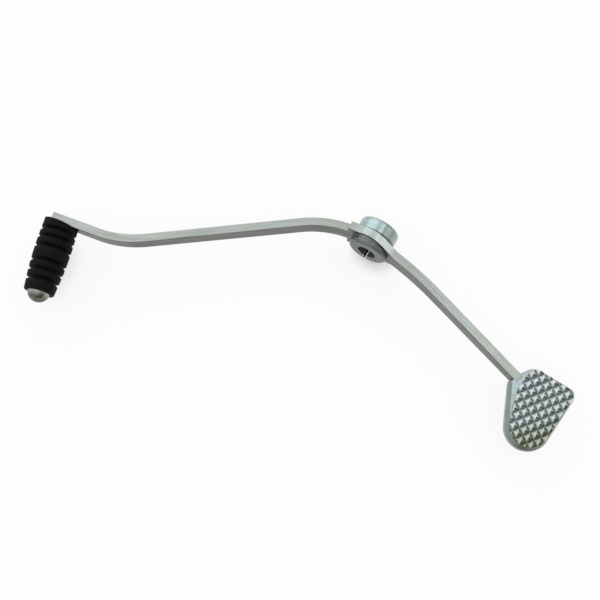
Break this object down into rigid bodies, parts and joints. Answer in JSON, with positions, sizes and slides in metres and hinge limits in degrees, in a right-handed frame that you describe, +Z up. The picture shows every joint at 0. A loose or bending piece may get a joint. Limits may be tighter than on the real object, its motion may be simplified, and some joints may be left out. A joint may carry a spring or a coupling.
{
  "type": "gear shift lever",
  "caption": "Heel and toe gear shift lever for a motorbike: bent plated bar with a split clamp hub, a ribbed rubber toe peg and a chequered heel pad.",
  "frame": {"origin": "bore axis at half the hub's length", "axes": "+Y along the bore towards the engine, +X towards the heel pad, +Z up across the bar's height"},
  "size_m": [0.3398, 0.1489, 0.0364],
  "materials": {
    "zinc_steel": "satin",
    "bolt_steel": "satin",
    "black_rubber": "matte"
  },
  "bodies": {
    "root": {"lever_arm": "zinc_steel", "clamp_hub": "zinc_steel", "pinch_bolt": "bolt_steel", "toe_peg": "zinc_steel", "toe_rubber": "black_rubber", "heel_pad": "zinc_steel"}
  },
  "joints": []
}
